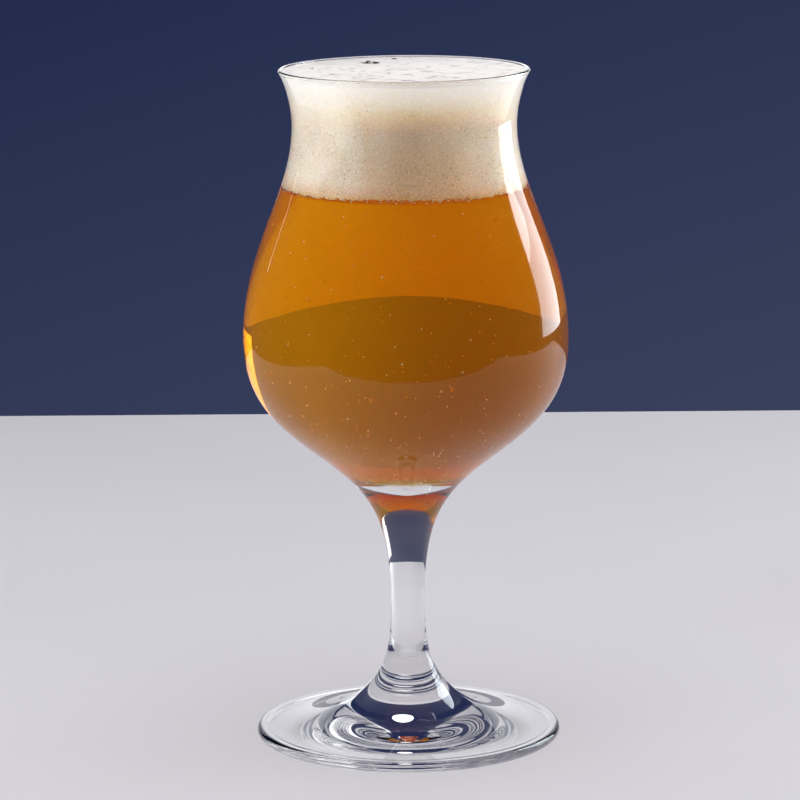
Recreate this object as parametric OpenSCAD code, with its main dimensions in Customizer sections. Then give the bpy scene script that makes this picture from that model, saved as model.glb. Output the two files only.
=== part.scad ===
// Stemmed tulip beer glass, poured full.
// Three gathers of clear glass are joined hot, face to face: a blown bowl with an S-shaped wall,
// a drawn stem and a pressed foot. The bowl holds the beer and its head of foam.
// Millimetres, +Z up, origin on the table under the axis of the glass.

/* [Bowl] */
// Height of the bowl, from its joint with the stem to the top of the rim
bowl_h = 128; // [112:1:150]
// Outer diameter of the rim
rim_d = 69.8; // [64:0.2:84]
// Lean of the lip at the rim, outward from straight up
rim_lean = 30; // [10:1:45]
// Outer diameter of the throat, the narrowest place under the rim
throat_d = 62.6; // [52:0.2:72]
// Drop from the rim to the throat
throat_drop = 15.5; // [10:0.5:24]
// Outer diameter of the belly, the widest place
belly_d = 91.3; // [80:0.2:104]
// Rise from the joint with the stem to the belly
belly_rise = 52.2; // [44:0.2:62]
// Wall at the rim
rim_wall = 1.2; // [0.8:0.1:2]
// Wall at the heel, where it runs into the floor
heel_wall = 1.8; // [1.2:0.1:3]
// Solid glass between the joint with the stem and the inside floor
floor_t = 12.3; // [8:0.1:14]

/* [Stem] */
// Length of the stem, from its joint with the foot to its joint with the bowl
stem_l = 38; // [20:1:70]
// Diameter where the stem joins the bowl
stem_top_d = 16.2; // [12:0.2:20]
// Lean of the side where the stem joins the bowl
stem_top_lean = 21.3; // [12:0.1:30]
// Diameter of the waist, the narrowest place
waist_d = 9.6; // [7:0.1:12]
// Rise from the joint with the foot to the waist
waist_rise = 14; // [8:0.5:18]
// Diameter where the stem joins the foot
stem_foot_d = 12.2; // [11.4:0.1:15]
// Lean of the side where the stem joins the foot
stem_foot_lean = 15; // [6:0.5:22]

/* [Foot] */
// Diameter of the foot
foot_d = 86.2; // [70:0.2:100]
// Height of the foot, from the table to its joint with the stem
foot_h = 24; // [18:0.5:32]
// Thickness of the rounded edge
edge_t = 3; // [2:0.1:4.5]
// Fall of the top face where it runs into the edge, below level
edge_fall = 2; // [0:0.5:5]
// Width of the flat ring that stands on the table
land_w = 1.2; // [0.8:0.2:5]
// Rise of the hollow under the foot
hollow_h = 1.8; // [0.6:0.2:4]

/* [Drink] */
// Depth of the foam, from its top edge down to the beer
foam_depth = 32.1; // [5:0.1:50]
// Drop from the rim to the foam's edge
foam_drop = 0.4; // [0.4:0.1:10]
// Rise of the foam's middle above its edge
foam_crown = 0.3; // [0:0.1:1.5]

/* [Hidden] */

$fn = 120;
curve_steps = 16;
rim_steps = 8;

stem_z = foot_h;
bowl_z = stem_z + stem_l;
rim_top_z = bowl_z + bowl_h;
floor_z = bowl_z + floor_t;
foam_edge_z = rim_top_z - foam_drop;
beer_z = foam_edge_z - foam_depth;

// How far each curve runs along its end's direction, as a share of its chord
heel_pulls = [0.366, 0.455];
shoulder_pulls = [0.426, 0.314];
lip_pulls = [0.30, 0.28];
stem_top_pulls = [0.45, 0.25];
stem_foot_pulls = [0.30, 0.30];
foot_top_pulls = [0.34, 0.46];
hollow_pulls = [0.12, 0.20];
floor_pulls = [0.06, 0.22];

// Share of the heel curve at which the wall leaves the floor
heel_share = 0.34;

// Profiles are lists of [radius, height]. A lean is an angle outward from straight up.
function heading(lean) = [sin(lean), cos(lean)];

// The four control points of a smooth curve that leaves p at one lean and reaches q at another
function curve(p, lean_p, q, lean_q, pulls) =
    let (chord = norm(q - p))
    [p, p + pulls[0] * chord * heading(lean_p), q - pulls[1] * chord * heading(lean_q), q];

function curve_at(c, t) =
    let (s = 1 - t)
    s * s * s * c[0] + 3 * s * s * t * c[1] + 3 * s * t * t * c[2] + t * t * t * c[3];

function curve_run(c, t) =
    let (s = 1 - t)
    let (run = s * s * (c[1] - c[0]) + 2 * s * t * (c[2] - c[1]) + t * t * (c[3] - c[2]))
    run / norm(run);

function steps_between(low, high) = [for (i = [0 : curve_steps]) low + (high - low) * i / curve_steps];

function curve_points(c) = [for (t = steps_between(0, 1)) curve_at(c, t)];

function reversed(list) = [for (i = [len(list) - 1 : -1 : 0]) list[i]];

function without_first(list) = [for (i = [1 : len(list) - 1]) list[i]];

// The three curves of the bowl's outer face: up over the belly, in to the throat, out to the rim
lip_end_z = rim_top_z - rim_wall / 2 * (1 + sin(rim_lean));
stem_top = [stem_top_d / 2, bowl_z];
belly = [belly_d / 2, bowl_z + belly_rise];
throat = [throat_d / 2, rim_top_z - throat_drop];
lip_end = [rim_d / 2 - rim_wall / 2 * (1 - cos(rim_lean)), lip_end_z];
heel_curve = curve(stem_top, stem_top_lean, belly, 0, heel_pulls);
shoulder_curve = curve(belly, 0, throat, 0, shoulder_pulls);
lip_curve = curve(throat, 0, lip_end, rim_lean, lip_pulls);

// The wall thins upward from the heel, quickly at first
heel_out_z = curve_at(heel_curve, heel_share)[1];
function wall_at(z) =
    let (left = (lip_end_z - z) / (lip_end_z - heel_out_z))
    rim_wall + (heel_wall - rim_wall) * left * left;

// The inner face lies one wall inside the outer face, square to it
function inner_at(c, t) =
    let (p = curve_at(c, t), run = curve_run(c, t))
    p + wall_at(p[1]) * [-run[1], run[0]];

function inner_points(c, low, high) = [for (t = steps_between(low, high)) inner_at(c, t)];

heel_run = curve_run(heel_curve, heel_share);
heel_lean = atan2(heel_run[0], heel_run[1]);
floor_curve = curve([0, floor_z], 90, inner_at(heel_curve, heel_share), heel_lean, floor_pulls);

bowl_outside = concat(
    curve_points(heel_curve),
    without_first(curve_points(shoulder_curve)),
    without_first(curve_points(lip_curve)));

bowl_inside = concat(
    curve_points(floor_curve),
    without_first(inner_points(heel_curve, heel_share, 1)),
    without_first(inner_points(shoulder_curve, 0, 1)),
    without_first(inner_points(lip_curve, 0, 1)));

// The fire-polished rim is a half round between the two faces
rim_middle = lip_end + rim_wall / 2 * [-cos(rim_lean), sin(rim_lean)];
rim_round = [for (i = [1 : rim_steps - 1])
    let (a = 180 * i / rim_steps - rim_lean)
    rim_middle + rim_wall / 2 * [cos(a), sin(a)]];

inside_by_height = [for (p = bowl_inside) [p[1], p[0]]];
function inside_r(z) = lookup(z, inside_by_height);

function inside_between(low, high) = [for (p = bowl_inside) if (p[1] > low && p[1] < high) p];

// The stem runs out from its waist both ways
waist = [waist_d / 2, stem_z + waist_rise];
stem_foot = [stem_foot_d / 2, stem_z];
stem_lower_curve = curve(stem_foot, -stem_foot_lean, waist, 0, stem_foot_pulls);
stem_upper_curve = curve(waist, 0, stem_top, stem_top_lean, stem_top_pulls);

// The foot flares from the stem to a rounded edge, stands on a ring and is hollow under the stem
edge_r = foot_d / 2 - edge_t / 2;
land_r = edge_r - land_w;
foot_top_curve = curve(stem_foot, 180 - stem_foot_lean, [edge_r, edge_t], 90 + edge_fall, foot_top_pulls);
foot_edge = [for (i = [1 : rim_steps])
    let (a = 90 - 180 * i / rim_steps)
    [edge_r, edge_t / 2] + edge_t / 2 * [cos(a), sin(a)]];
hollow_curve = curve([land_r, 0], -80, [0, hollow_h], -90, hollow_pulls);

module foot() {
    color("lightcyan", 0.4)
    rotate_extrude()
    polygon(concat(
        [[0, stem_z]],
        curve_points(foot_top_curve),
        foot_edge,
        curve_points(hollow_curve)));
}

module stem() {
    color("lightcyan", 0.4)
    rotate_extrude()
    polygon(concat(
        [[0, stem_z]],
        curve_points(stem_lower_curve),
        without_first(curve_points(stem_upper_curve)),
        [[0, bowl_z]]));
}

module bowl() {
    color("lightcyan", 0.4)
    rotate_extrude()
    polygon(concat(
        [[0, bowl_z]],
        bowl_outside,
        rim_round,
        reversed(bowl_inside)));
}

module beer() {
    color("darkorange", 0.8)
    rotate_extrude()
    polygon(concat(
        [[0, floor_z]],
        inside_between(floor_z, beer_z),
        [[inside_r(beer_z), beer_z], [0, beer_z]]));
}

module foam_head() {
    crown = [0, foam_edge_z + foam_crown];
    edge = [inside_r(foam_edge_z), foam_edge_z];
    color("ivory")
    rotate_extrude()
    polygon(concat(
        [[0, beer_z], [inside_r(beer_z), beer_z]],
        inside_between(beer_z, foam_edge_z),
        curve_points(curve(edge, -90, crown, -90, [0.3, 0.4]))));
}

foot();
stem();
bowl();
beer();
foam_head();
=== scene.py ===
"""The looks of a stemmed tulip beer glass, poured full: clear glass, amber beer and a head of foam."""

import math
import random

import bmesh
import bpy
import numpy as np
from mathutils import Matrix, Vector


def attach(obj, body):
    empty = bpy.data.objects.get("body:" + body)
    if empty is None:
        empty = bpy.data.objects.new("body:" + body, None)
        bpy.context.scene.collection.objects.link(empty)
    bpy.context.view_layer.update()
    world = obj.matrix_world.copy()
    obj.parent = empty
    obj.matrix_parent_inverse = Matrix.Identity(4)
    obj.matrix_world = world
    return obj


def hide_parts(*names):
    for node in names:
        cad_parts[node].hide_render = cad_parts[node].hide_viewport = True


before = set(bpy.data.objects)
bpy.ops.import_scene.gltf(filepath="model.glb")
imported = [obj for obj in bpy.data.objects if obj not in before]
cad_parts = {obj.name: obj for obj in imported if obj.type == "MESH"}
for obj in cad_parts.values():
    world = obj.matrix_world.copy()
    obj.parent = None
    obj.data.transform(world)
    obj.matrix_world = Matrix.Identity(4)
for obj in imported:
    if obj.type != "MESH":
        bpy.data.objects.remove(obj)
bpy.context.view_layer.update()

# Sizes of the glass in millimetres and its leans in degrees, the same as the solids have
BOWL_H = 128
RIM_D = 69.8
RIM_LEAN = 30
THROAT_D = 62.6
THROAT_DROP = 15.5
BELLY_D = 91.3
BELLY_RISE = 52.2
RIM_WALL = 1.2
HEEL_WALL = 1.8
FLOOR_T = 12.3
STEM_L = 38
STEM_TOP_D = 16.2
STEM_TOP_LEAN = 21.3
WAIST_D = 9.6
WAIST_RISE = 14
STEM_FOOT_D = 12.2
STEM_FOOT_LEAN = 15
FOOT_D = 86.2
FOOT_H = 24
EDGE_T = 3
EDGE_FALL = 2
LAND_W = 1.2
HOLLOW_H = 1.8
HOLLOW_LEAN = 80
FOAM_DEPTH = 32.1
FOAM_DROP = 0.4
FOAM_CROWN = 0.3

# Share of the heel curve at which the wall leaves the floor
HEEL_SHARE = 0.34

# How far each curve runs along its end's direction, as a share of its chord
HEEL_PULLS = (0.366, 0.455)
SHOULDER_PULLS = (0.426, 0.314)
LIP_PULLS = (0.30, 0.28)
STEM_TOP_PULLS = (0.45, 0.25)
STEM_FOOT_PULLS = (0.30, 0.30)
FOOT_TOP_PULLS = (0.34, 0.46)
HOLLOW_PULLS = (0.12, 0.20)
FLOOR_PULLS = (0.06, 0.22)

# Heights that follow from the sizes
STEM_Z = FOOT_H
BOWL_Z = STEM_Z + STEM_L
RIM_TOP_Z = BOWL_Z + BOWL_H
FLOOR_Z = BOWL_Z + FLOOR_T
FOAM_EDGE_Z = RIM_TOP_Z - FOAM_DROP
BEER_Z = FOAM_EDGE_Z - FOAM_DEPTH
LIP_END_Z = RIM_TOP_Z - RIM_WALL / 2 * (1 + math.sin(math.radians(RIM_LEAN)))

# Millimetres in metres, and how finely the pieces are divided
MM = 0.001
TURN_STEPS = 240
CURVE_STEPS = 40
FOOT_TOP_STEPS = 240
ROUND_STEPS = 14
BALL_DETAIL = 2
FOAM_STEPS = 720
FOAM_SIDE_ROWS = 22
FOAM_TOP_RINGS = 120
SHARP_ANGLE = math.radians(35)

# Points nearer to the axis than this lie on it
ON_AXIS = 1e-6
# How much the rounded rim is trimmed, since the solids' rim is made of short straight steps
RIM_TRIM = 0.006
# The wall is wet up to just under the foam's edge
WET_TOP_Z = FOAM_EDGE_Z - 0.3
# The faint polished line that runs round the foot just inside its edge
GROOVE_IN = 2.6
GROOVE_DEPTH = 0.10
GROOVE_W = 0.30

# Gaps between the wall and what it holds
BEER_GAP = 0.02
FOAM_GAP = 0.03
# How far inside the beer's surface its haze begins
HAZE_DEPTH = 1.2
# A filling's side has no point this near to its top or to the axis
FILLING_MARGIN = 0.2
# How far the beer rises into the foam
BEER_RISE = 0.5

# Seeds of chance for the gas bubbles, the beads of foam, the foam's lower edge and its top
GAS_SEED = 11
BEAD_SEED = 23
FRINGE_SEED = 5
TOP_SEED = 42

# Gas bubbles: how many, how near to the floor and the top, the least radius and what chance adds to it
GAS_COUNT = 700
GAS_END_GAP = 3
GAS_R = 0.10
GAS_R_MORE = 0.18
GAS_GAP = 0.12
# Share of the gas bubbles that cling to the wall, and how far from it they may be
GAS_CLINGING = 0.85
GAS_CLING_REACH = 0.5

# Beads of foam on the line where it meets the beer: how many, how far below it, and how spread
BEAD_COUNT = 300
BEAD_R = 0.10
BEAD_R_MORE = 0.20
BEAD_DROP = 0.35
BEAD_SPREAD = 0.3
BEAD_GAP = 0.04

# The foam's lower edge: small scallops on a slow wave, between two limits measured from the beer
SCALLOPS = 330
SCALLOP_R = 0.25
SCALLOP_R_MORE = 0.75
SCALLOP_DEPTH = 0.75
SCALLOP_MERGE = 0.12
FRINGE_MIDDLE = 0.15
FRINGE_TOP = 0.35
FRINGE_DIP = 0.9
# How far inside the wall the foam's underside begins
UNDERSIDE_IN = 1.5

# The foam's top: wide lumps, longer from side to side, and small bubbles
TOP_SINK = 0.6
LUMPS = 190
LUMP_R = 2.2
LUMP_R_MORE = 3.6
LUMP_STRETCH = 1.7
LUMP_RISE = 0.13
CREASE_W = 0.08
# Creases, where shade is painted on the top, begin where a lump is this high, and grow fainter towards the
# back
CREASE_LEAST = 0.02
CREASE_FRONT = 0.8
CREASE_FADE = 45
TOP_BUBBLES = 260
TOP_BUBBLE_R = 0.3
TOP_BUBBLE_R_MORE = 0.5
TOP_BUBBLE_RISE = 0.15
# Share of the radius at which the top begins to run level into the edge
TOP_RIM_SHARE = 0.96
TOP_ROOM = 0.06

# Where bubbles have burst in the foam's top: the middle's x and y, and the radius
HOLES = ((-9.8, 20.5, 2.6), (-2.8, 29.0, 0.9), (-25.4, 4.9, 0.7))
# Depth of a hole as a share of its radius, how far its edge is torn, and where the shade painted in it ends
HOLE_DEPTH = 1.1
HOLE_TEAR = 1.8
HOLE_SOFT_EDGE = 1.2

# Light bends by these where air meets glass, glass meets beer, and beer meets gas
GLASS_IOR = 1.52
BEER_IOR = 1.345


def heading(lean):
    """The direction that leans outward from straight up, as radius and height."""
    return np.array([math.sin(math.radians(lean)), math.cos(math.radians(lean))])


class Curve:
    """A smooth stretch of profile that leaves p at one lean and reaches q at another."""

    def __init__(self, p, lean_p, q, lean_q, pulls):
        p = np.array(p, float)
        q = np.array(q, float)
        chord = np.linalg.norm(q - p)
        leaving = pulls[0] * chord * heading(lean_p)
        reaching = pulls[1] * chord * heading(lean_q)
        self.points = (p, p + leaving, q - reaching, q)

    def at(self, t):
        a, b, c, d = self.points
        s = 1 - t
        return s ** 3 * a + 3 * s * s * t * b + 3 * s * t * t * c + t ** 3 * d

    def run(self, t):
        """The direction of the curve, one long."""
        a, b, c, d = self.points
        s = 1 - t
        run = s * s * (b - a) + 2 * s * t * (c - b) + t * t * (d - c)
        return run / np.linalg.norm(run)

    def sampled(self, steps=CURVE_STEPS):
        return [self.at(i / steps) for i in range(steps + 1)]


# The three curves of the bowl's outer face: up over the belly, in to the throat, out to the rim
stem_top = (STEM_TOP_D / 2, BOWL_Z)
belly = (BELLY_D / 2, BOWL_Z + BELLY_RISE)
throat = (THROAT_D / 2, RIM_TOP_Z - THROAT_DROP)
lip_end = (RIM_D / 2 - RIM_WALL / 2 * (1 - math.cos(math.radians(RIM_LEAN))), LIP_END_Z)
heel_curve = Curve(stem_top, STEM_TOP_LEAN, belly, 0, HEEL_PULLS)
shoulder_curve = Curve(belly, 0, throat, 0, SHOULDER_PULLS)
lip_curve = Curve(throat, 0, lip_end, RIM_LEAN, LIP_PULLS)
heel_out_z = heel_curve.at(HEEL_SHARE)[1]


def wall_at(z):
    """Wall thickness at a height: it thins upward from the heel, quickly at first."""
    left = (LIP_END_Z - z) / (LIP_END_Z - heel_out_z)
    return RIM_WALL + (HEEL_WALL - RIM_WALL) * left * left


def inner_at(curve, t):
    """The point of the inner face that lies one wall inside the outer face, square to it."""
    point = curve.at(t)
    run = curve.run(t)
    return point + wall_at(point[1]) * np.array([-run[1], run[0]])


def inner_points(curve, low, high):
    steps = np.linspace(low, high, CURVE_STEPS + 1)
    return [inner_at(curve, t) for t in steps]


heel_run = heel_curve.run(HEEL_SHARE)
heel_lean = math.degrees(math.atan2(heel_run[0], heel_run[1]))
floor_curve = Curve((0, FLOOR_Z), 90, inner_at(heel_curve, HEEL_SHARE), heel_lean, FLOOR_PULLS)

bowl_outside = heel_curve.sampled() + shoulder_curve.sampled()[1:] + lip_curve.sampled()[1:]
bowl_inside = (
    floor_curve.sampled()
    + inner_points(heel_curve, HEEL_SHARE, 1)[1:]
    + inner_points(shoulder_curve, 0, 1)[1:]
    + inner_points(lip_curve, 0, 1)[1:]
)
inside_z = np.array([p[1] for p in bowl_inside])
inside_r = np.array([p[0] for p in bowl_inside])


def inside_radius(z):
    return float(np.interp(z, inside_z, inside_r))


def half_round(middle, radius, first, last):
    """Points of an arc round a middle point, from one angle to another, without its ends."""
    angles = np.radians(np.linspace(first, last, ROUND_STEPS + 1)[1:-1])
    return [np.array(middle) + radius * np.array([math.cos(a), math.sin(a)]) for a in angles]


def link(piece):
    bpy.context.scene.collection.objects.link(piece)
    return piece


def smooth(mesh):
    for polygon in mesh.polygons:
        polygon.use_smooth = True


def turned_ring(build, radius, height):
    """A ring of corners round the axis, or a single corner on it."""
    if radius < ON_AXIS:
        return [build.verts.new((0, 0, height * MM))]
    ring = []
    for k in range(TURN_STEPS):
        angle = 2 * math.pi * k / TURN_STEPS
        x = radius * MM * math.cos(angle)
        y = radius * MM * math.sin(angle)
        ring.append(build.verts.new((x, y, height * MM)))
    return ring


def turned(name, profile, materials, material_of=None):
    """A closed piece made by turning a profile, a list of (radius, height) from axis to axis, about +Z.

    material_of(i) gives the material index of the band between profile points i and i + 1.
    An edge stays sharp where the surface really turns.
    """
    build = bmesh.new()
    rings = [turned_ring(build, radius, height) for radius, height in profile]
    for i, (low, high) in enumerate(zip(rings[:-1], rings[1:])):
        index = material_of(i) if material_of else 0
        for k in range(TURN_STEPS):
            beside = k + 1
            low_side = [low[k % len(low)], low[beside % len(low)]]
            high_side = [high[beside % len(high)], high[k % len(high)]]
            corners = list(dict.fromkeys(low_side + high_side))
            if len(corners) > 2:
                build.faces.new(corners).material_index = index
    bmesh.ops.recalc_face_normals(build, faces=build.faces)
    mesh = bpy.data.meshes.new(name)
    build.to_mesh(mesh)
    build.free()
    for material in materials:
        mesh.materials.append(material)
    smooth(mesh)
    mesh.set_sharp_from_angle(angle=SHARP_ANGLE)
    return link(bpy.data.objects.new(name, mesh))


def rgb(red, green, blue):
    return (red, green, blue, 1)


WHITE = rgb(1.0, 1.0, 1.0)

# Glass: its two tones, and how much of a lamp's light each surface lets through
GLASS_TONES = (rgb(0.985, 0.99, 0.99), WHITE)
GLASS_PASSES = rgb(0.985, 0.985, 0.985)
GLASS_SHEEN = rgb(0.5, 0.5, 0.5)
GLASS_RIPPLE = 0.000012

# Beer: its surface, what a path through it takes away, its haze, and painted light that makes the haze
# paler and golden at the floor
BEER_SURFACE = rgb(1.0, 0.99, 0.96)
BEER_COLOUR = rgb(0.97, 0.79, 0.10)
BEER_DENSITY = 100.0
HAZE_TONES = (rgb(0.73, 0.352, 0.003), rgb(0.77, 0.377, 0.004))
HAZE_COVER = (0.275, 0.315)
FLOOR_GLOW_HAZE = rgb(0.86, 0.70, 0.003)
GAS_TONES = (rgb(1.0, 0.93, 0.80), rgb(1.0, 0.98, 0.92))
GAS_CLEARNESS = 0.55

# Foam: the tones of its parts and of a warm painted shade, then grain, flecks, top, the painted shade of
# creases and holes, and how strong these are
BODY_TONES = (rgb(0.93, 0.825, 0.70), rgb(0.98, 0.90, 0.80))
PAINTED_SHADE_TONES = (rgb(0.89, 0.675, 0.46), rgb(0.94, 0.745, 0.53))
FRINGE_TONES = (rgb(0.90, 0.68, 0.50), rgb(0.66, 0.44, 0.26))
FROTH_TONES = (rgb(0.95, 0.875, 0.80), rgb(1.0, 0.97, 0.93))
GRAIN_COLOUR = rgb(0.50, 0.38, 0.24)
FLECK_COLOUR = rgb(0.62, 0.56, 0.48)
TOP_COLOUR = rgb(0.80, 0.775, 0.755)
# Painted shade laid into the creases of the foam's top
CREASE_SHADE_COLOUR = rgb(0.24, 0.23, 0.23)
# Painted shade: near black for the burst holes
HOLE_SHADE_COLOUR = rgb(0.02, 0.018, 0.016)
FILM_STRENGTH = 0.55
FLECK_STRENGTH = 0.12
TOP_STRENGTH = 0.6
FOAM_RELIEF = 0.00012
FINE_RELIEF = 0.4

# How much of the light goes into the foam, and what froth, top and creases take from that
LIGHT_DEPTH = 0.85
LESS_IN_FROTH = 0.20
LESS_ON_TOP = 0.30
LESS_IN_CREASES = 0.4
# How far red, green and blue go into dense foam and into froth, and the reach of both in metres
DENSE_SPREAD = rgb(1.0, 0.65, 0.36)
FROTH_SPREAD = rgb(1.0, 0.93, 0.85)
LIGHT_REACH = (0.008, 0.10)

# Heights, in metres, between which one look gives way to another
FLOOR_GLOW_RISE = (0.0763, 0.0803)
FRINGE_RISE = (0.1568, 0.1625)
FROTH_RISE = (0.1735, 0.1915)
HOLE_RISE = (0.1790, 0.1835)
TOP_RISE = (0.1878, 0.1888)
# The middle of the place low in the foam's front where a warm shade is painted most, and how far from it
# that fades
PAINTED_SHADE_PLACE = (0.007, -0.030, 0.158)
PAINTED_SHADE_FADE = (0.004, 0.026)

# The sockets of a mix node that take the share and the two colours, and the one that gives the result
MIX_SHARE = 0
MIX_FIRST = 6
MIX_SECOND = 7
MIX_RESULT = 2

# The number on each point of the foam that says how creased it is there, and so how much shade is painted
# there
CREASE = "crease"


def new_material(name):
    """A material with only its output."""
    material = bpy.data.materials.new(name)
    material.use_nodes = True
    tree = material.node_tree
    tree.nodes.clear()
    output = tree.nodes.new("ShaderNodeOutputMaterial")
    return material, tree, output


def put(tree, socket, value):
    """Gives a socket a constant, or links another socket to it."""
    if isinstance(value, bpy.types.NodeSocket):
        tree.links.new(value, socket)
    else:
        socket.default_value = value


def add_node(tree, kind, **values):
    """A new node with some of its inputs, named with underscores for spaces."""
    node = tree.nodes.new(kind)
    for name, value in values.items():
        put(tree, node.inputs[name.replace("_", " ")], value)
    return node


def add_group(tree, group, **values):
    """A placed copy of a shared effect, with its own values."""
    node = tree.nodes.new("ShaderNodeGroup")
    node.node_tree = group
    for name, value in values.items():
        put(tree, node.inputs[name], value)
    return node


def math_node(tree, operation, first, second, clamp=False):
    """A sum, product or the like of two sockets, or of a socket and a number."""
    node = tree.nodes.new("ShaderNodeMath")
    node.operation = operation
    node.use_clamp = clamp
    for socket, value in zip(node.inputs, (first, second)):
        put(tree, socket, value)
    return node.outputs["Value"]


def vector_node(tree, operation, *values):
    """A sum, product or the like of vectors, each a constant or a socket."""
    node = tree.nodes.new("ShaderNodeVectorMath")
    node.operation = operation
    for socket, value in zip(node.inputs, values):
        put(tree, socket, value)
    return node


def colour_mix(tree, share, first, second):
    """A colour between two others, each a constant or a socket."""
    node = tree.nodes.new("ShaderNodeMix")
    node.data_type = "RGBA"
    put(tree, node.inputs[MIX_SHARE], share)
    put(tree, node.inputs[MIX_FIRST], first)
    put(tree, node.inputs[MIX_SECOND], second)
    return node.outputs[MIX_RESULT]


def fade(tree, value, low, high, first=0.0, last=1.0):
    """Goes smoothly from a first number to a last one while a value goes from low to high."""
    node = add_node(tree, "ShaderNodeMapRange", Value=value, From_Min=low, From_Max=high)
    node.interpolation_type = "SMOOTHSTEP"
    put(tree, node.inputs["To Min"], first)
    put(tree, node.inputs["To Max"], last)
    return node.outputs["Result"]


def place_in(tree):
    """The place on the piece, in metres."""
    return tree.nodes.new("ShaderNodeTexCoord").outputs["Object"]


def height_of(tree, place):
    return add_node(tree, "ShaderNodeSeparateXYZ", Vector=place).outputs["Z"]


def blank_group(name, inputs, outputs):
    """An empty shared effect with named number sockets."""
    group = bpy.data.node_groups.new(name, "ShaderNodeTree")
    for label, value in inputs.items():
        socket = group.interface.new_socket(label, in_out="INPUT", socket_type="NodeSocketFloat")
        socket.default_value = value
    for label in outputs:
        group.interface.new_socket(label, in_out="OUTPUT", socket_type="NodeSocketFloat")
    return group, group.nodes.new("NodeGroupInput").outputs, group.nodes.new("NodeGroupOutput").inputs


def slow_variation():
    """A soft unevenness that drifts over a surface between a low and a high value."""
    inputs = {"Scale": 30.0, "Low": 0.0, "High": 1.0}
    group, given, result = blank_group("slow_variation", inputs, ["Value"])
    noise = add_node(group, "ShaderNodeTexNoise", Vector=place_in(group), Scale=given["Scale"], Detail=3.0)
    spread = add_node(group, "ShaderNodeMapRange", Value=noise.outputs["Fac"], From_Min=0.3, From_Max=0.7)
    put(group, spread.inputs["To Min"], given["Low"])
    put(group, spread.inputs["To Max"], given["High"])
    put(group, result["Value"], spread.outputs["Result"])
    return group


def bubble_cells():
    """Packed bubbles: the films between them, their domes, dots or rings in some, and a random tone."""
    outputs = ["Film", "Dome", "Dot", "Ring", "Tone"]
    group, given, result = blank_group("bubble_cells", {"Scale": 2000.0, "Film": 0.2}, outputs)
    place = place_in(group)
    cells = add_node(group, "ShaderNodeTexVoronoi", Vector=place, Scale=given["Scale"])
    edges = add_node(group, "ShaderNodeTexVoronoi", Vector=place, Scale=given["Scale"])
    edges.feature = "DISTANCE_TO_EDGE"
    tones = add_node(group, "ShaderNodeSeparateColor", Color=cells.outputs["Color"]).outputs
    away = cells.outputs["Distance"]
    film = fade(group, edges.outputs["Distance"], 0.0, given["Film"], 1.0, 0.0)
    dome = math_node(group, "SUBTRACT", 1.0, away, clamp=True)
    dot = fade(group, away, 0.12, 0.34, 1.0, 0.0)
    ring_inside = fade(group, away, 0.22, 0.36)
    ring_outside = fade(group, away, 0.36, 0.48, 1.0, 0.0)
    ring = math_node(group, "MULTIPLY", ring_inside, ring_outside)
    put(group, result["Film"], film)
    put(group, result["Dome"], dome)
    put(group, result["Dot"], math_node(group, "MULTIPLY", dot, tones["Green"]))
    put(group, result["Ring"], math_node(group, "MULTIPLY", ring, tones["Blue"]))
    put(group, result["Tone"], tones["Red"])
    return group


SLOW_VARIATION = slow_variation()
BUBBLE_CELLS = bubble_cells()


def varied(tree, scale, low=0.0, high=1.0):
    """A number that drifts slowly over a surface."""
    return add_group(tree, SLOW_VARIATION, Scale=scale, Low=low, High=high).outputs["Value"]


def lit_through(tree, shader, passes, bounced=False):
    """Lets lamps shine through a clear surface and, if bounced, the light that the table throws back."""
    paths = tree.nodes.new("ShaderNodeLightPath")
    passing = paths.outputs["Is Shadow Ray"]
    if bounced:
        passing = math_node(tree, "MAXIMUM", passing, paths.outputs["Is Diffuse Ray"])
    clear = add_node(tree, "ShaderNodeBsdfTransparent", Color=passes)
    mix = add_node(tree, "ShaderNodeMixShader", Fac=passing)
    put(tree, mix.inputs[1], shader.outputs["BSDF"])
    put(tree, mix.inputs[2], clear.outputs["BSDF"])
    return mix.outputs["Shader"]


def glass(name, ior, bounced=False):
    """Clear blown glass, with the faint slow ripple that hand polishing leaves."""
    material, tree, output = new_material(name)
    tint = colour_mix(tree, varied(tree, scale=55.0), *GLASS_TONES)
    ripple = varied(tree, scale=38.0)
    bump = add_node(tree, "ShaderNodeBump", Strength=1.0, Distance=GLASS_RIPPLE, Height=ripple)
    shader = add_node(tree, "ShaderNodeBsdfPrincipled", Base_Color=tint, Roughness=0.0, IOR=ior)
    put(tree, shader.inputs["Specular Tint"], GLASS_SHEEN)
    put(tree, shader.inputs["Transmission Weight"], 1.0)
    put(tree, shader.inputs["Normal"], bump.outputs["Normal"])
    put(tree, output.inputs["Surface"], lit_through(tree, shader, GLASS_PASSES, bounced))
    return material


def hot_joint():
    """The fused faces inside the glass: light passes straight on."""
    material, tree, output = new_material("hot_joint")
    clear = tree.nodes.new("ShaderNodeBsdfTransparent")
    put(tree, output.inputs["Surface"], clear.outputs["BSDF"])
    return material


def amber_beer():
    """The clear beer: it wets the glass, whose face bends the light, and colours what goes through."""
    material, tree, output = new_material("amber_beer")
    shader = add_node(tree, "ShaderNodeBsdfPrincipled", Base_Color=BEER_SURFACE, Roughness=0.0, IOR=1.0)
    put(tree, shader.inputs["Transmission Weight"], 1.0)
    absorb = add_node(tree, "ShaderNodeVolumeAbsorption", Color=BEER_COLOUR, Density=BEER_DENSITY)
    put(tree, output.inputs["Surface"], lit_through(tree, shader, WHITE))
    put(tree, output.inputs["Volume"], absorb.outputs["Volume"])
    return material


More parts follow.
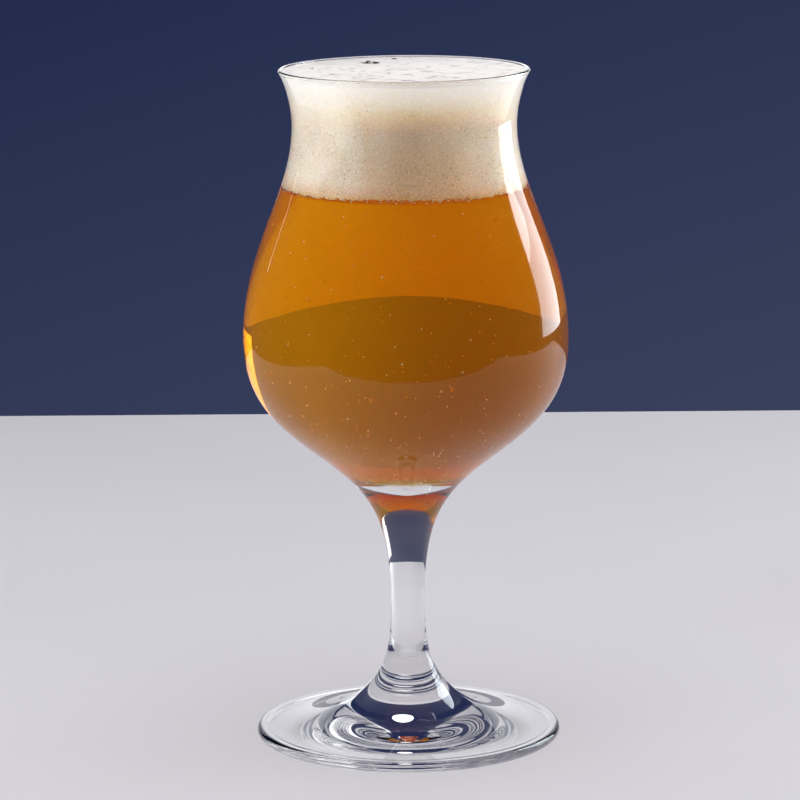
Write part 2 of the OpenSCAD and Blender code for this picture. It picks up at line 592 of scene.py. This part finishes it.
def beer_haze():
    """The fine yeast haze that hangs in the beer, just inside its surface, with painted light that makes it
    paler and golden on the floor.
    """
    material, tree, output = new_material("beer_haze")
    amber = colour_mix(tree, varied(tree, scale=24.0), *HAZE_TONES)
    # Painted light: the haze is paler and more golden on the floor
    above_floor_glow = fade(tree, height_of(tree, place_in(tree)), *FLOOR_GLOW_RISE)
    colour = colour_mix(tree, above_floor_glow, FLOOR_GLOW_HAZE, amber)
    shader = add_node(tree, "ShaderNodeBsdfPrincipled", Base_Color=colour, Roughness=1.0)
    put(tree, shader.inputs["Specular IOR Level"], 0.0)
    put(tree, shader.inputs["Alpha"], varied(tree, 14.0, *HAZE_COVER))
    put(tree, output.inputs["Surface"], shader.outputs["BSDF"])
    return material


def gas_bubble():
    """The skin of a gas bubble in the beer, which bends light the opposite way to a drop."""
    material, tree, output = new_material("gas_bubble")
    skin = colour_mix(tree, varied(tree, scale=60.0), *GAS_TONES)
    shader = add_node(tree, "ShaderNodeBsdfPrincipled", Base_Color=skin, Roughness=0.0, IOR=BEER_IOR)
    put(tree, shader.inputs["Transmission Weight"], GAS_CLEARNESS)
    put(tree, output.inputs["Surface"], lit_through(tree, shader, WHITE))
    return material


def burst_holes(tree, place):
    """One in the torn holes where bubbles have burst, where a dark shade is painted, and nought elsewhere.
    """
    ragged = add_node(tree, "ShaderNodeTexNoise", Vector=place, Scale=600.0)
    tear = (HOLE_TEAR * MM, HOLE_TEAR * MM, 0.0)
    torn = vector_node(tree, "MULTIPLY_ADD", ragged.outputs["Color"], tear, place).outputs["Vector"]
    flat = vector_node(tree, "MULTIPLY", torn, (1.0, 1.0, 0.0)).outputs["Vector"]
    found = 0.0
    for x, y, radius in HOLES:
        middle = ((x + HOLE_TEAR / 2) * MM, (y + HOLE_TEAR / 2) * MM, 0)
        away = vector_node(tree, "DISTANCE", flat, middle).outputs["Value"]
        hole = fade(tree, away, radius * MM, radius * HOLE_SOFT_EDGE * MM, 1.0, 0.0)
        found = math_node(tree, "MAXIMUM", hole, found)
    return found


def dense_foam(tree, place, fringe_rise, fine, specks):
    """The colour of the dense foam: creamy and grained, with a warm shade painted low on its front, wet
    along its lower edge.
    """
    films = math_node(tree, "MULTIPLY", fine["Film"], FILM_STRENGTH)
    grain = math_node(tree, "ADD", films, specks["Dot"], clamp=True)
    patched = math_node(tree, "MULTIPLY", grain, varied(tree, scale=48.0, low=0.15))
    # Painted shade: the foam is darker and warmer round one place low on its front
    away = vector_node(tree, "DISTANCE", place, PAINTED_SHADE_PLACE).outputs["Value"]
    body = colour_mix(tree, fine["Tone"], *BODY_TONES)
    shaded = colour_mix(tree, fine["Tone"], *PAINTED_SHADE_TONES)
    plain = colour_mix(tree, fade(tree, away, *PAINTED_SHADE_FADE), shaded, body)
    grained = colour_mix(tree, patched, plain, GRAIN_COLOUR)
    fringe = colour_mix(tree, fine["Film"], *FRINGE_TONES)
    return colour_mix(tree, fringe_rise, fringe, grained)


def foam_light(tree, shader, froth_rise, top_rise, lines, holes):
    """How light goes into the foam: far into the froth, less on its top, and not into creases and holes."""
    froth_less = math_node(tree, "MULTIPLY", froth_rise, LESS_IN_FROTH)
    top_less = math_node(tree, "MULTIPLY", top_rise, LESS_ON_TOP)
    open_share = math_node(tree, "SUBTRACT", LIGHT_DEPTH, math_node(tree, "ADD", froth_less, top_less))
    closed = math_node(tree, "ADD", math_node(tree, "MULTIPLY", lines, LESS_IN_CREASES), holes)
    near, far = LIGHT_REACH
    reach = add_node(tree, "ShaderNodeMapRange", Value=froth_rise, To_Min=near, To_Max=far)
    weight = math_node(tree, "SUBTRACT", open_share, closed, clamp=True)
    put(tree, shader.inputs["Subsurface Weight"], weight)
    put(tree, shader.inputs["Subsurface Radius"], colour_mix(tree, froth_rise, DENSE_SPREAD, FROTH_SPREAD))
    put(tree, shader.inputs["Subsurface Scale"], reach.outputs["Result"])


def beer_foam():
    """Dense creamy foam: fine bubbles below, larger and whiter ones towards the top, and painted shade in
    the creases and burst holes of its top.
    """
    material, tree, output = new_material("beer_foam")
    shader = add_node(tree, "ShaderNodeBsdfPrincipled", Roughness=0.5, Specular_IOR_Level=0.25)
    place = place_in(tree)
    height = height_of(tree, place)
    froth_rise = fade(tree, height, *FROTH_RISE)
    top_rise = fade(tree, height, *TOP_RISE)
    crease = tree.nodes.new("ShaderNodeAttribute")
    crease.attribute_name = CREASE
    lines = math_node(tree, "MULTIPLY", crease.outputs["Fac"], top_rise)
    holes = math_node(tree, "MULTIPLY", burst_holes(tree, place), fade(tree, height, *HOLE_RISE))
    foam_light(tree, shader, froth_rise, top_rise, lines, holes)
    fine = add_group(tree, BUBBLE_CELLS, Scale=1500.0, Film=0.34).outputs
    specks = add_group(tree, BUBBLE_CELLS, Scale=820.0, Film=0.2).outputs
    large = add_group(tree, BUBBLE_CELLS, Scale=460.0, Film=0.14).outputs
    dense = dense_foam(tree, place, fade(tree, height, *FRINGE_RISE), fine, specks)
    ringed = colour_mix(tree, large["Ring"], *FROTH_TONES)
    flecks = math_node(tree, "MULTIPLY", specks["Dot"], FLECK_STRENGTH)
    froth = colour_mix(tree, flecks, ringed, FLECK_COLOUR)
    bulk = colour_mix(tree, froth_rise, dense, froth)
    topped = colour_mix(tree, math_node(tree, "MULTIPLY", top_rise, TOP_STRENGTH), bulk, TOP_COLOUR)
    # Painted shade: the creases of the top are darkened
    crease_shaded = colour_mix(tree, lines, topped, CREASE_SHADE_COLOUR)
    # Painted shade: the burst holes are near black
    put(tree, shader.inputs["Base Color"], colour_mix(tree, holes, crease_shaded, HOLE_SHADE_COLOUR))
    large_domes = math_node(tree, "MULTIPLY", large["Dome"], froth_rise)
    fine_domes = math_node(tree, "MULTIPLY", fine["Dome"], FINE_RELIEF)
    relief = math_node(tree, "ADD", fine_domes, large_domes)
    bump = add_node(tree, "ShaderNodeBump", Strength=0.7, Distance=FOAM_RELIEF, Height=relief)
    put(tree, shader.inputs["Normal"], bump.outputs["Normal"])
    put(tree, output.inputs["Surface"], shader.outputs["BSDF"])
    return material


GLASS = glass("clear_glass", GLASS_IOR)
WET_GLASS = glass("clear_glass_on_beer", GLASS_IOR / BEER_IOR)
FOOT_GLASS = glass("clear_glass_on_table", GLASS_IOR, bounced=True)
JOINT = hot_joint()
BEER = amber_beer()
HAZE = beer_haze()
GAS = gas_bubble()
FOAM = beer_foam()


def dress(piece, node):
    """The piece stands for a node and moves with the only body."""
    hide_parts(node)
    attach(piece, "root")
    return piece


def make_bowl():
    """The bowl: dry glass outside and on the rim, a fused joint below, wet glass inside."""
    across = np.array([-math.cos(math.radians(RIM_LEAN)), math.sin(math.radians(RIM_LEAN))])
    rim_middle = np.array(lip_end) + RIM_WALL / 2 * across
    rim = half_round(rim_middle, RIM_WALL / 2, -RIM_LEAN, 180 - RIM_LEAN)
    rim = [np.minimum(p, (RIM_D, RIM_TOP_Z - RIM_TRIM)) for p in rim]
    wet = [p for p in bowl_inside if p[1] < WET_TOP_Z]
    line = np.array([inside_radius(WET_TOP_Z), WET_TOP_Z])
    dry = [p for p in bowl_inside if p[1] > WET_TOP_Z]
    profile = [np.array([0, BOWL_Z])] + bowl_outside + rim + dry[::-1] + [line] + wet[::-1]
    first_wet = len(profile) - len(wet) - 1

    def material_of(i):
        if i == 0:
            return 1
        return 2 if i >= first_wet else 0

    return turned("bowl_glass", profile, [GLASS, JOINT, WET_GLASS], material_of)


def make_stem():
    """The stem, which runs out from its waist both ways, with a fused joint at each end."""
    stem_foot = (STEM_FOOT_D / 2, STEM_Z)
    waist = (WAIST_D / 2, STEM_Z + WAIST_RISE)
    lower = Curve(stem_foot, -STEM_FOOT_LEAN, waist, 0, STEM_FOOT_PULLS).sampled()
    upper = Curve(waist, 0, stem_top, STEM_TOP_LEAN, STEM_TOP_PULLS).sampled()
    profile = [np.array([0, STEM_Z])] + lower + upper[1:] + [np.array([0, BOWL_Z])]
    last = len(profile) - 2
    return turned("stem_glass", profile, [GLASS, JOINT], lambda i: 1 if i in (0, last) else 0)


def make_foot():
    """The foot: it flares to a rounded edge, stands on a ring and is hollow under the stem."""
    edge_r = FOOT_D / 2 - EDGE_T / 2
    land_r = edge_r - LAND_W
    stem_foot = (STEM_FOOT_D / 2, STEM_Z)
    sweep = Curve(stem_foot, 180 - STEM_FOOT_LEAN, (edge_r, EDGE_T), 90 + EDGE_FALL, FOOT_TOP_PULLS)
    groove_r = FOOT_D / 2 - GROOVE_IN
    top = []
    for point in sweep.sampled(FOOT_TOP_STEPS):
        dip = GROOVE_DEPTH * math.exp(-((point[0] - groove_r) / GROOVE_W) ** 2)
        top.append(point - np.array([0, dip]))
    edge = half_round((edge_r, EDGE_T / 2), EDGE_T / 2, 90, -90)
    hollow = Curve((land_r, 0), -HOLLOW_LEAN, (0, HOLLOW_H), -90, HOLLOW_PULLS).sampled()
    profile = [np.array([0, STEM_Z])] + top + edge + [np.array([edge_r, 0])] + hollow
    return turned("foot_glass", profile, [FOOT_GLASS, JOINT], lambda i: 1 if i == 0 else 0)


def inset(low, high, depth):
    """Points along the inner face between two heights, moved inward by a depth, square to the face."""
    points = np.array(bowl_inside)
    runs = np.gradient(points, axis=0)
    runs /= np.linalg.norm(runs, axis=1)[:, None]
    moved = points - depth * np.stack([runs[:, 1], -runs[:, 0]], 1)
    return [p for p, q in zip(moved, points) if low < q[1] < high and p[0] > FILLING_MARGIN]


def filling(name, depth, top_z, material):
    """A closed body that fills the bowl up to a height, a depth inside its inner face."""
    side = inset(FLOOR_Z, top_z - FILLING_MARGIN, depth)
    top_r = inside_radius(top_z) - depth
    profile = [np.array([0, FLOOR_Z + depth])] + side + [np.array([top_r, top_z]), np.array([0, top_z])]
    return turned(name, profile, [material])


def make_bubbles(name, places, material, inside_out):
    """Small round bubbles in one mesh, each a (place, radius) in millimetres."""
    ball = bmesh.new()
    bmesh.ops.create_icosphere(ball, subdivisions=BALL_DETAIL, radius=MM)
    corners = np.array([vert.co[:] for vert in ball.verts])
    sides = np.array([[vert.index for vert in face.verts] for face in ball.faces])
    ball.free()
    if inside_out:
        sides = sides[:, ::-1]
    verts = np.concatenate([np.array(place) * MM + radius * corners for place, radius in places])
    faces = np.concatenate([sides + i * len(corners) for i in range(len(places))])
    mesh = bpy.data.meshes.new(name)
    mesh.from_pydata(verts.tolist(), [], faces.tolist())
    mesh.materials.append(material)
    smooth(mesh)
    return link(bpy.data.objects.new(name, mesh))


def turned_place(chance, reach, height):
    """A place at a distance from the axis and a height, at a random angle."""
    angle = 2 * math.pi * chance.random()
    return (reach * math.cos(angle), reach * math.sin(angle), height)


def gas_places():
    """Rising bubbles: most cling near the wall, and more of them lie low in the bowl."""
    chance = random.Random(GAS_SEED)
    places = []
    for _ in range(GAS_COUNT):
        height = FLOOR_Z + GAS_END_GAP + (BEER_Z - FLOOR_Z - 2 * GAS_END_GAP) * chance.random() ** 1.7
        radius = GAS_R + GAS_R_MORE * chance.random() ** 3
        room = inside_radius(height) - GAS_GAP - radius
        if chance.random() < GAS_CLINGING:
            reach = room - GAS_CLING_REACH * chance.random()
        else:
            reach = room * math.sqrt(chance.random())
        places.append((turned_place(chance, reach, height), radius))
    return places


def fringe_places():
    """Beads of foam along the ragged line where the foam meets the beer, against the wall."""
    chance = random.Random(BEAD_SEED)
    places = []
    for _ in range(BEAD_COUNT):
        radius = BEAD_R + BEAD_R_MORE * chance.random() ** 2
        height = BEER_Z - BEAD_DROP + chance.gauss(0, BEAD_SPREAD)
        reach = inside_radius(height) - FOAM_GAP - BEAD_GAP - radius
        places.append((turned_place(chance, reach, height), radius))
    return places


def foam_fringe(angles):
    """Height of the foam's lower edge round the wall: a row of small scallops on a slow wave."""
    chance = random.Random(FRINGE_SEED)
    low = np.full(angles.shape, BEER_Z + FRINGE_MIDDLE)
    low += 0.16 * np.sin(3 * angles + 0.6) + 0.12 * np.sin(7 * angles + 2.1)
    base = low.copy()
    round_r = inside_radius(BEER_Z)
    for _ in range(SCALLOPS):
        radius = SCALLOP_R + SCALLOP_R_MORE * chance.random() ** 1.6
        middle = 2 * math.pi * chance.random()
        away = round_r * np.abs((angles - middle + math.pi) % (2 * math.pi) - math.pi)
        drop = np.sqrt(np.clip(radius ** 2 - away ** 2, 0, None)) * SCALLOP_DEPTH
        low = np.minimum(low, base - np.where(drop > 0, drop - SCALLOP_MERGE, 0))
    return np.clip(low, BEER_Z - FRINGE_DIP, BEER_Z + FRINGE_TOP)


def middle_on_top(chance, edge_r):
    """A random middle on the foam's top, spread evenly over it."""
    out = edge_r * math.sqrt(chance.random())
    turn = 2 * math.pi * chance.random()
    return out * math.cos(turn), out * math.sin(turn)


def foam_lumps(x, y, edge_r, chance):
    """Soft lumps as heights, and the broken creases in which they meet."""
    first = np.zeros_like(x)
    second = np.zeros_like(x)
    wavy_x = x + 1.1 * np.sin(0.55 * y + 0.9) + 0.6 * np.sin(1.3 * y + 0.4 * x)
    wavy_y = y + 0.9 * np.sin(0.45 * x + 2.0) + 0.5 * np.sin(1.2 * x - 0.5 * y)
    for _ in range(LUMPS):
        radius = LUMP_R + LUMP_R_MORE * chance.random() ** 1.5
        middle_x, middle_y = middle_on_top(chance, edge_r)
        away = ((wavy_x - middle_x) / LUMP_STRETCH) ** 2 + (wavy_y - middle_y) ** 2
        lump = LUMP_RISE * radius * np.clip(1 - away / radius ** 2, 0, None)
        second = np.maximum(second, np.minimum(first, lump))
        first = np.maximum(first, lump)
    crease = np.where(first > CREASE_LEAST, 1 - np.clip((first - second) / CREASE_W, 0, 1), 0)
    broken = 0.45 + 0.7 * np.sin(0.33 * x + 1) * np.sin(0.41 * y + 0.3) + 0.4 * np.sin(0.9 * x - 0.7 * y)
    front = np.clip(CREASE_FRONT - y / CREASE_FADE, 0.3, 1)
    return first, crease * front * np.clip(broken, 0.05, 1)


def foam_top(x, y, edge_r):
    """The foam's top as heights and creases: soft lumps, small bubbles and the holes of burst ones."""
    chance = random.Random(TOP_SEED)
    share = np.hypot(x, y) / edge_r
    height = FOAM_EDGE_Z - TOP_SINK + FOAM_CROWN / 3 * (1 - share ** 2.4)
    lumps, crease = foam_lumps(x, y, edge_r, chance)
    height += lumps
    for _ in range(TOP_BUBBLES):
        radius = TOP_BUBBLE_R + TOP_BUBBLE_R_MORE * chance.random()
        middle_x, middle_y = middle_on_top(chance, edge_r)
        away = (x - middle_x) ** 2 + (y - middle_y) ** 2
        height += TOP_BUBBLE_RISE * np.sqrt(np.clip(radius ** 2 - away, 0, None))
    for hole_x, hole_y, radius in HOLES:
        away = (x - hole_x) ** 2 + (y - hole_y) ** 2
        height -= HOLE_DEPTH * radius * np.sqrt(np.clip(1 - away / radius ** 2, 0, None))
    rest = np.clip((share - TOP_RIM_SHARE) / (1 - TOP_RIM_SHARE), 0, 1) ** 2
    height = height * (1 - rest) + FOAM_EDGE_Z * rest
    return np.minimum(height, RIM_TOP_Z - TOP_ROOM), crease * (1 - rest)


def make_foam():
    """The head of foam: its side lies against the wall, its lower edge is ragged and its top is frothy."""
    angles = np.linspace(0, 2 * math.pi, FOAM_STEPS, endpoint=False)
    low = foam_fringe(angles)
    edge_r = inside_radius(FOAM_EDGE_Z) - FOAM_GAP
    under = np.full_like(angles, inside_radius(BEER_Z) - FOAM_GAP - UNDERSIDE_IN)
    plain = np.zeros_like(angles)
    rows = [(under, np.full_like(angles, BEER_Z), plain)]
    for share in np.linspace(0, 1, FOAM_SIDE_ROWS + 1):
        z = low + (FOAM_EDGE_Z - low) * share
        rows.append((np.interp(z, inside_z, inside_r) - FOAM_GAP, z, plain))
    for share in np.linspace(1, 0, FOAM_TOP_RINGS, endpoint=False)[1:]:
        r = np.full_like(angles, edge_r * share)
        rows.append((r, *foam_top(r * np.cos(angles), r * np.sin(angles), edge_r)))
    rings = [np.stack([r * np.cos(angles), r * np.sin(angles), z], 1) for r, z, _ in rows]
    crown = foam_top(np.zeros(1), np.zeros(1), edge_r)[0][0]
    verts = np.concatenate(rings + [np.array([[0, 0, crown], [0, 0, BEER_Z]])]) * MM
    around_ring = np.arange(FOAM_STEPS)
    beside = np.roll(around_ring, -1)
    faces = []
    for i in range(len(rings) - 1):
        low_ring = i * FOAM_STEPS
        high_ring = low_ring + FOAM_STEPS
        band = (low_ring + around_ring, low_ring + beside, high_ring + beside, high_ring + around_ring)
        faces += np.stack(band, 1).tolist()
    last = (len(rings) - 1) * FOAM_STEPS
    top_point = np.full(FOAM_STEPS, len(verts) - 2)
    low_point = np.full(FOAM_STEPS, len(verts) - 1)
    faces += np.stack((last + around_ring, last + beside, top_point), 1).tolist()
    faces += np.stack((beside, around_ring, low_point), 1).tolist()
    mesh = bpy.data.meshes.new("foam_body")
    mesh.from_pydata(verts.tolist(), [], faces)
    creases = mesh.attributes.new(CREASE, "FLOAT", "POINT")
    creases.data.foreach_set("value", np.concatenate([c for _, _, c in rows] + [np.zeros(2)]))
    mesh.materials.append(FOAM)
    smooth(mesh)
    return link(bpy.data.objects.new("foam_body", mesh))


dress(make_bowl(), "bowl")
dress(make_stem(), "stem")
dress(make_foot(), "foot")
dress(filling("beer_body", BEER_GAP, BEER_Z + BEER_RISE, BEER), "beer")
dress(filling("beer_haze", HAZE_DEPTH, BEER_Z - HAZE_DEPTH, HAZE), "beer")
dress(make_bubbles("beer_bubbles", gas_places(), GAS, inside_out=True), "beer")
dress(make_foam(), "foam_head")
dress(make_bubbles("foam_beads", fringe_places(), FOAM, inside_out=False), "foam_head")

# The stage, in metres: a plain pale table top, whose far edge shows behind the glass, and a blue surround
TABLE_LOW = Vector((-0.48, -0.30))
TABLE_HIGH = Vector((0.70, 0.468))
TABLE_CORNER = 0.05
CORNER_STEPS = 12
TABLE_TONES = (rgb(0.69, 0.668, 0.688), rgb(0.71, 0.689, 0.708))
SURROUND_TONES = (rgb(0.017, 0.025, 0.076), rgb(0.041, 0.051, 0.105))


def make_table():
    """A flat table top with rounded corners and a matt, slightly uneven paint."""
    material, tree, output = new_material("pale_table")
    paint = colour_mix(tree, varied(tree, scale=9.0), *TABLE_TONES)
    shader = add_node(tree, "ShaderNodeBsdfPrincipled", Base_Color=paint, Roughness=0.6)
    put(tree, shader.inputs["Specular IOR Level"], 0.15)
    put(tree, output.inputs["Surface"], shader.outputs["BSDF"])
    build = bmesh.new()
    inner = Vector((TABLE_CORNER, TABLE_CORNER))
    low = TABLE_LOW + inner
    high = TABLE_HIGH - inner
    middles = ((high.x, high.y), (low.x, high.y), (low.x, low.y), (high.x, low.y))
    corners = []
    for quarter, (x, y) in enumerate(middles):
        for k in range(CORNER_STEPS + 1):
            angle = (quarter + k / CORNER_STEPS) * math.pi / 2
            corner = (x + TABLE_CORNER * math.cos(angle), y + TABLE_CORNER * math.sin(angle), 0)
            corners.append(build.verts.new(corner))
    build.faces.new(corners)
    mesh = bpy.data.meshes.new("table_top")
    build.to_mesh(mesh)
    build.free()
    mesh.materials.append(material)
    link(bpy.data.objects.new("table_top", mesh))


def make_surround():
    """A plain dark blue surround, a little lighter low down and to the right."""
    world = bpy.data.worlds.new("studio")
    bpy.context.scene.world = world
    world.use_nodes = True
    tree = world.node_tree
    tree.nodes.clear()
    output = tree.nodes.new("ShaderNodeOutputWorld")
    facing = tree.nodes.new("ShaderNodeTexCoord").outputs["Generated"]
    split = add_node(tree, "ShaderNodeSeparateXYZ", Vector=facing)
    across = math_node(tree, "MULTIPLY", split.outputs["X"], 1.9)
    down = math_node(tree, "MULTIPLY", split.outputs["Z"], -6.5)
    slope = math_node(tree, "ADD", across, down)
    share = math_node(tree, "SUBTRACT", slope, 0.40, clamp=True)
    blue = colour_mix(tree, share, *SURROUND_TONES)
    seen = add_node(tree, "ShaderNodeBackground", Color=blue, Strength=1.0)
    put(tree, output.inputs["Surface"], seen.outputs["Background"])


make_table()
make_surround()


def around(azimuth, distance, height):
    """A place round the glass: the azimuth is counted from the camera's side, to the right."""
    angle = math.radians(azimuth)
    return (math.sin(angle) * distance, -math.cos(angle) * distance, height)


def softbox(name, place, target, size, radiance, colour=(1, 1, 1)):
    """A soft lamp at a place, facing a target. Its radiance is the brightness that a mirror would show."""
    width, height = size
    lamp = bpy.data.lights.new(name, "AREA")
    lamp.shape = "RECTANGLE"
    lamp.size = width
    lamp.size_y = height
    lamp.energy = 4 * radiance * width * height
    lamp.color = colour
    piece = link(bpy.data.objects.new(name, lamp))
    piece.location = place
    piece.rotation_euler = (Vector(target) - Vector(place)).to_track_quat("-Z", "Y").to_euler()
    return piece


def unseen(lamp):
    """A lamp that only lights: no reflection and no clear piece shows it."""
    lamp.visible_camera = False
    lamp.visible_glossy = False
    lamp.visible_transmission = False


def mirrored(lamp):
    """A lamp that only shows in reflections."""
    lamp.visible_camera = False
    lamp.visible_transmission = False
    lamp.visible_diffuse = False


def seen_through(lamp):
    """A lamp that only shows through clear pieces."""
    lamp.visible_camera = False
    lamp.visible_glossy = False
    lamp.visible_diffuse = False


def only_on(lamp, *names):
    """A lamp whose light falls on the named pieces alone."""
    pieces = bpy.data.collections.new(lamp.name + "_pieces")
    for name in names:
        pieces.objects.link(bpy.data.objects[name])
    lamp.light_linking.receiver_collection = pieces
    return lamp


# What the lamps face, in metres, and their tints
GLASS_MIDDLE = (0, 0, 0.15)
FOAM_MIDDLE = (0, 0, 0.18)
FOOT_MIDDLE = (0, 0, 0.02)
STRAIGHT_UP = (0, 0, 1)
COOL = (0.86, 0.95, 1)
WARM = (1, 0.60, 0.22)
WARM_FOAM = (1, 0.6, 0.28)
BEER_GLOW = (0.75, 1, 0.3)
TABLE_GLOW = (1, 0.98, 0.38)
FOAM_PIECES = ("foam_body", "foam_beads")

# The tall window-like strip on the right, as it shows in reflections and through the glass and the beer
strip_high = softbox("strip_high", around(124, 0.8, 0.55), (0, 0, 0.55), (0.41, 0.50), 8.0, COOL)
strip_low = softbox("strip_low", around(124, 0.8, 0.165), (0, 0, 0.165), (0.41, 0.27), 4.1, COOL)
strip_behind = softbox("strip_behind", around(124, 0.82, 0.42), (0, 0, 0.42), (0.42, 0.79), 0.95)
strip_beer = softbox("strip_beer", around(121, 0.84, 0.425), (0, 0, 0.425), (0.34, 0.81), 5.0)
mirrored(strip_high)
mirrored(strip_low)
seen_through(only_on(strip_behind, "stem_glass", "foot_glass"))
seen_through(only_on(strip_beer, "bowl_glass"))

# A thin glint on the left, and a pale card behind that shows in the foot
mirrored(softbox("slit_left", around(-126.5, 1.0, 0.285), GLASS_MIDDLE, (0.02, 0.12), 1.6))
mirrored(softbox("back_card", (0, 0.95, 0.29), FOOT_MIDDLE, (0.6, 0.42), 1.0))

# The lamps that light the whole scene
unseen(softbox("key_left", around(-64, 1.05, 0.36), GLASS_MIDDLE, (1.2, 0.6), 5.2))
unseen(softbox("fill_right", around(100, 1.05, 0.40), GLASS_MIDDLE, (1.0, 0.6), 3.9))
unseen(softbox("top_light", (0.15, -0.05, 1.15), (0.15, -0.05, 0), (1.5, 1.5), 0.95))

# Light that the glass and the beer throw onto the foam
foam_left = softbox("foam_left", around(-66, 1.07, 0.36), GLASS_MIDDLE, (1.2, 0.6), 1.1)
foam_right = softbox("foam_right", around(106, 1.07, 0.40), GLASS_MIDDLE, (1.0, 0.6), 6.1)
foam_front = softbox("foam_front", around(10, 1.1, 0.45), FOAM_MIDDLE, (0.6, 0.4), 1.2, WARM_FOAM)
foam_under = softbox("foam_under", (0, 0, 0.13), STRAIGHT_UP, (0.05, 0.05), 3.2, BEER_GLOW)
unseen(only_on(foam_left, *FOAM_PIECES))
unseen(only_on(foam_right, *FOAM_PIECES))
unseen(only_on(foam_front, *FOAM_PIECES))
unseen(only_on(foam_under, "foam_body"))

# Warm light from the front, and light that the table throws up into the beer
unseen(softbox("front_warm", around(15, 1.2, 0.30), GLASS_MIDDLE, (0.6, 0.5), 1.0, WARM))
unseen(softbox("table_glow", (0, 0, 0.0004), STRAIGHT_UP, (0.5, 0.5), 1.08, TABLE_GLOW))

# A faint glow of the surround and a bright spot, as seen through the glass
wall_glow = softbox("wall_glow", (0, 0.92, 0.5), (0, 0, 0.5), (2.4, 1.2), 0.028)
wall_gleam = softbox("wall_gleam", (0, 0.94, 0.5), (0, 0, 0.5), (2.4, 1.2), 0.018)
back_spot = softbox("back_spot", (0.07, 1.01, 0.64), FOOT_MIDDLE, (0.26, 0.26), 1.3)
back_spot.data.shape = "DISK"
seen_through(only_on(wall_glow, "stem_glass"))
seen_through(only_on(wall_gleam, "bowl_glass"))
seen_through(only_on(back_spot, "foot_glass"))

# The camera stands where the photograph was taken from: metres, degrees and millimetres of lens
CAMERA_BACK = 1.0898
CAMERA_UP = 0.3084
CAMERA_PITCH = 11.006
CAMERA_YAW = 0.094
CAMERA_ROLL = -0.43
SENSOR = 36.0
LENS = 177.65


def make_camera():
    data = bpy.data.cameras.new("camera")
    data.sensor_width = SENSOR
    data.lens = LENS
    camera = link(bpy.data.objects.new("camera", data))
    turn = Matrix.Rotation(math.radians(CAMERA_YAW), 4, "Z")
    tilt = Matrix.Rotation(math.radians(90 - CAMERA_PITCH), 4, "X")
    roll = Matrix.Rotation(math.radians(CAMERA_ROLL), 4, "Z")
    camera.matrix_world = Matrix.Translation((0, -CAMERA_BACK, CAMERA_UP)) @ turn @ tilt @ roll
    bpy.context.scene.camera = camera


make_camera()

# Light may cross every surface of the glass and the beer many times
CLEAR_BOUNCES = 32
MIRROR_BOUNCES = 12
settings = bpy.context.scene
settings.view_settings.view_transform = "Standard"
settings.cycles.max_bounces = CLEAR_BOUNCES
settings.cycles.transmission_bounces = CLEAR_BOUNCES
settings.cycles.transparent_max_bounces = CLEAR_BOUNCES
settings.cycles.glossy_bounces = MIRROR_BOUNCES
settings.cycles.caustics_refractive = False
settings.cycles.caustics_reflective = False
